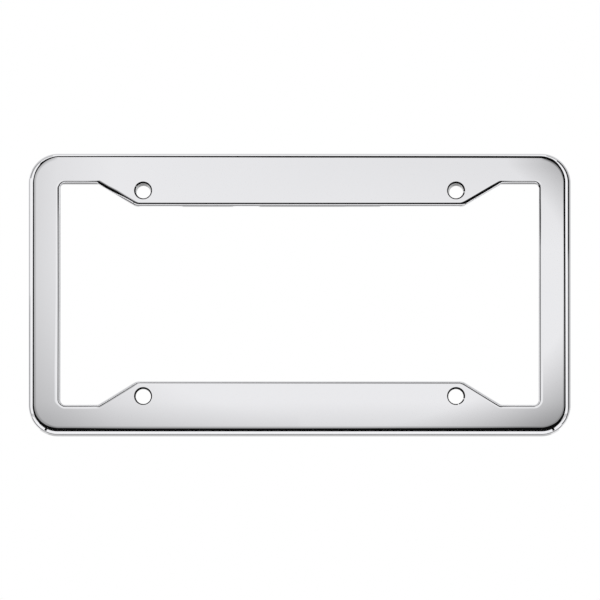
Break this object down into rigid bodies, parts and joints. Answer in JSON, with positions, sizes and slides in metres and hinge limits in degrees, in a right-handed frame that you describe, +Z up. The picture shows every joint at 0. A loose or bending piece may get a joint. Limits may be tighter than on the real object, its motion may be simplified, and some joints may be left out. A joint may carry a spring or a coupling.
{
  "type": "number plate holder",
  "caption": "Bright rectangular number plate frame with a stepped window, rounded corners, screw holes and an open back that takes the plate.",
  "frame": {"origin": "middle of the screw holes, on the back of the face's wall", "axes": "+X to the right along the length, +Y back towards the car, +Z up"},
  "size_m": [0.31, 0.012, 0.1616],
  "materials": {
    "bright_chrome": "mirror-bright chrome plating on a die-cast shell"
  },
  "bodies": {
    "root": {"plate_frame": "bright_chrome"}
  },
  "joints": []
}
